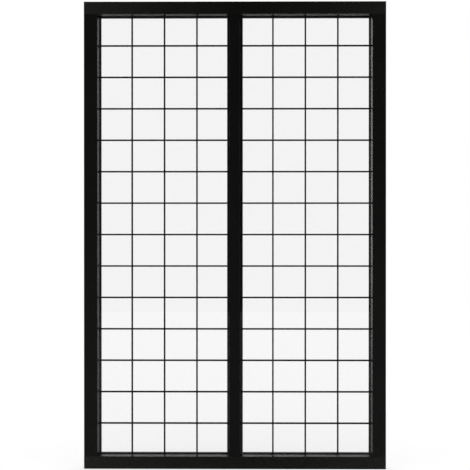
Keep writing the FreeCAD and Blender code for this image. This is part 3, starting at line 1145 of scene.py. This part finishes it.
@dataclass
class AluminiumFrame:
    """The rails, stiles, mullion and their covers."""

    finishes: Finishes
    wall: float = 1.6 * MM
    port_inset: float = 15.0 * MM
    port_y: tuple[float, float] = (-6.0 * MM, 14.5 * MM)

    def dress(self) -> None:
        """Gives each length its coat."""
        finishes = self.finishes
        coats = {
            finishes.rail: ("bottom_rail", "top_rail"),
            finishes.upright: ("left_stile", "right_stile", "mullion"),
            finishes.stile_cover: ("left_stile_cover", "right_stile_cover"),
            finishes.mullion_cover: ("mullion_cover",),
        }
        for material, nodes in coats.items():
            for node in nodes:
                dress_node(node, material)

    def build(self) -> list[bpy.types.Object]:
        """Mills the rails' covers and drives two joint screws into each upright's ends.

        Returns:
            The covers and the screws.
        """
        made = [RailCover(node).build(self.finishes)
                for node in ("bottom_rail_cover", "top_rail_cover")]
        stile = node_box("right_stile")
        port_x = stile[1, 0] - self.port_inset
        rails = (("bottom", stile[0, 2] - self.wall, 1.0),
                 ("top", stile[1, 2] + self.wall, -1.0))
        for rail, seat, upward in rails:
            for place, x in (("left", -port_x), ("middle", 0.0), ("right", port_x)):
                for depth, y in zip(("front", "rear"), self.port_y):
                    name = f"{rail}_{place}_{depth}_screw"
                    made.append(JointScrew(name, x, y, seat, upward).build(self.finishes))
        return made


@dataclass
class GlazedBay:
    """One bay: its pane, its blocks, a ring of seal and a grid of bars on each face."""

    side: Side
    finishes: Finishes
    column_pitch: float = 90.5 * MM
    column_count: int = 3
    row_pitch: float = 87.79 * MM
    row_count: int = 13
    row_rise: float = 2.2 * MM
    stile_extra: float = 2.8 * MM
    front_seal_width: float = 5.0 * MM
    rear_seal_width: float = 6.0 * MM
    lip_clearance: float = 0.01 * MM

    def dress(self) -> None:
        """Gives the pane and its setting blocks their finishes."""
        dress_node(f"{self.side.value}_pane", self.finishes.glass)
        dress_node(f"{self.side.value}_setting_blocks", self.finishes.block)

    def lattice(self, face: Face) -> BarLattice:
        """Lays out the grid of one face.

        Args:
            face: Which face.

        Returns:
            The lattice, not yet built.
        """
        middle = node_box(f"{self.side.value}_front_grid").mean(axis=0)
        columns = evenly(middle[0], self.column_pitch, self.column_count)
        rows = evenly(middle[2] + self.row_rise, self.row_pitch, self.row_count)
        low, high = node_box(f"{self.side.value}_{face.value}_grid")
        glass_y = high[1] if face is Face.FRONT else low[1]
        return BarLattice(self.side, face, columns, rows, (low[0], low[2]),
                          (high[0], high[2]), glass_y)

    def seal(self, face: Face) -> SealRing:
        """Lays out the seal of one face.

        Args:
            face: Which face.

        Returns:
            The ring, not yet built.
        """
        front = face is Face.FRONT
        low, high = node_box(f"{self.side.value}_{face.value}_seal")
        upright = node_box(f"{self.side.value}_stile" + ("_cover" if front else ""))
        width = self.front_seal_width if front else self.rear_seal_width
        foot_y, glass_y = (low[1], high[1]) if front else (high[1], low[1])
        near, far = sorted((abs(low[0]), abs(high[0])))
        stile_middle = far - width / 2
        rail_middle = np.abs(upright[:, 0]).max() - stile_middle - self.stile_extra
        return SealRing(self.side, face, foot_y,
                        glass_y + face.outward() * self.lip_clearance, width,
                        stile_middle, near + width / 2, rail_middle, *upright[:, 2])

    def build(self) -> list[bpy.types.Object]:
        """Builds the seals and the grids of both faces.

        Returns:
            The new pieces.
        """
        made = []
        for face in Face:
            made.append(self.seal(face).build(self.finishes))
            made += self.lattice(face).build(self.finishes)
        return made


def dress_node(node: str, material: bpy.types.Material) -> None:
    """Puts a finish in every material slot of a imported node.

    Args:
        node: The node's name.
        material: Its finish.
    """
    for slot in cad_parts[node].material_slots:
        slot.material = material
    log.info("dressed %s in %s", node, material.name)


# Studio


@dataclass
class Studio:
    """Pale floor, white backdrop, soft lamps and the camera."""

    camera_place: tuple[float, float, float] = (0.0698, -5.02, 0.6796)
    camera_turn: float = 0.794
    camera_tilt: float = -0.326
    lens: float = 137.78
    sensor: float = 36.0
    floor_half: float = 9.0
    floor_tone: float = 0.8
    floor_seen: float = 0.45
    floor_lift: float = 0.63
    floor_ahead: float = 0.19
    floor_behind: float = 0.62
    room_level: float = 0.72
    front_level: float = 0.03
    left_share: float = 1.1
    right_share: float = 0.65
    sun_strength: float = 0.5

    def camera(self) -> None:
        """Sets the camera level with the middle of the partition, facing it."""
        data = bpy.data.cameras.new("camera")
        data.lens, data.sensor_width = self.lens, self.sensor
        camera = bpy.data.objects.new("camera", data)
        camera.location = self.camera_place
        camera.rotation_euler = (math.radians(90.0 + self.camera_tilt), 0.0,
                                 math.radians(self.camera_turn))
        bpy.context.scene.collection.objects.link(camera)
        bpy.context.scene.camera = camera

    def sight(self, w: Wiring) -> tuple[bpy.types.NodeSocket, bpy.types.NodeSocket]:
        """Tells which rays look straight at the studio and which see it mirrored.

        A straight look may pass through the glass, but has met no other surface.

        Args:
            w: The wiring to add to.

        Returns:
            One for a straight look, and one for a ray off or through a gloss.
        """
        path = w.add("LightPath").outputs
        met = w.math("ADD", path["Glossy Depth"], path["Diffuse Depth"])
        straight = w.math("MAXIMUM", path["Is Camera Ray"], path["Is Transmission Ray"])
        seen = w.times(straight, w.math("LESS_THAN", met, 0.5))
        return seen, path["Is Glossy Ray"]

    def floor(self) -> None:
        """Lays the floor, which shows as white but keeps the partition's shadow."""
        material = bpy.data.materials.new("pale_floor")
        material.use_nodes = True
        material.node_tree.nodes.clear()
        w = Wiring(material.node_tree)
        seen, glossy = self.sight(w)
        mirrored = w.times(glossy, w.math("SUBTRACT", 1.0, seen))
        depth = w.add("SeparateXYZ", {0: w.place()}).outputs[1]
        shade = w.remap(depth, -0.3, 0.3, self.floor_ahead, self.floor_behind)
        speck = w.remap(w.noise(w.place(), 6.0, 3.0), 0.3, 0.7, 0.995, 1.005)
        tone = w.blended(seen, w.blended(mirrored, self.floor_tone, shade), self.floor_seen)
        tone = w.times(speck, tone)
        colour = w.add("CombineXYZ", {0: tone, 1: tone, 2: tone}).outputs[0]
        matt = w.add("BsdfDiffuse", {"Color": colour})
        glow = w.add("Emission", {"Strength": w.times(seen, self.floor_lift)})
        both = w.add("AddShader", {0: matt.outputs[0], 1: glow.outputs[0]})
        w.add("OutputMaterial", {"Surface": both.outputs[0]})
        half = self.floor_half
        mesh = bpy.data.meshes.new("floor")
        mesh.from_pydata([(-half, -half, 0.0), (half, -half, 0.0), (half, half, 0.0),
                          (-half, half, 0.0)], [], [(0, 1, 2, 3)])
        mesh.materials.append(material)
        floor = bpy.data.objects.new("floor", mesh)
        bpy.context.scene.collection.objects.link(floor)

    def backdrop(self) -> None:
        """Lights the room: white behind the partition and where it is looked through.

        Mirrored, the room is dim in front and a little brighter to the left.
        """
        world = bpy.data.worlds.new("studio")
        world.use_nodes = True
        world.node_tree.nodes.clear()
        w = Wiring(world.node_tree)
        toward = w.add("SeparateXYZ", {0: w.add("TexCoord").outputs["Generated"]}).outputs
        behind = w.remap(toward[1], -0.35, 0.3, self.front_level, 1.0)
        sideways = w.remap(toward[0], -0.6, 0.6, self.left_share, self.right_share)
        mirrored = w.times(behind, sideways)
        seen, glossy = self.sight(w)
        level = w.blended(seen, w.blended(glossy, self.room_level, mirrored), 1.0)
        glow = w.add("Background", {"Color": (1.0, 1.0, 1.0), "Strength": level})
        w.add("OutputWorld", {"Surface": glow.outputs[0]})
        bpy.context.scene.world = world

    def overhead(self) -> None:
        """Hangs a wide, soft overhead light a little behind the partition."""
        data = bpy.data.lights.new("overhead", "SUN")
        data.energy = self.sun_strength
        data.angle = math.radians(50.0)
        lamp = bpy.data.objects.new("overhead", data)
        lamp.location = (0.0, 1.0, 3.0)
        lamp.rotation_euler = (math.radians(-20.0), 0.0, 0.0)
        bpy.context.scene.collection.objects.link(lamp)

    def build(self) -> None:
        """Sets up the whole studio."""
        self.floor()
        self.backdrop()
        self.overhead()
        self.camera()
        view = bpy.context.scene.view_settings
        view.view_transform = "Standard"


def main() -> None:
    """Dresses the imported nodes, builds the fine pieces and sets up the studio."""
    logging.basicConfig(level=logging.INFO, format="%(name)s: %(message)s")
    Studio().build()
    finishes = Finishes()
    for part in (AluminiumFrame(finishes), *(GlazedBay(side, finishes) for side in Side)):
        part.dress()
        for piece in part.build():
            log.info("built %s with %d faces", piece.name, len(piece.data.polygons))


if __name__ == "__main__":
    main()
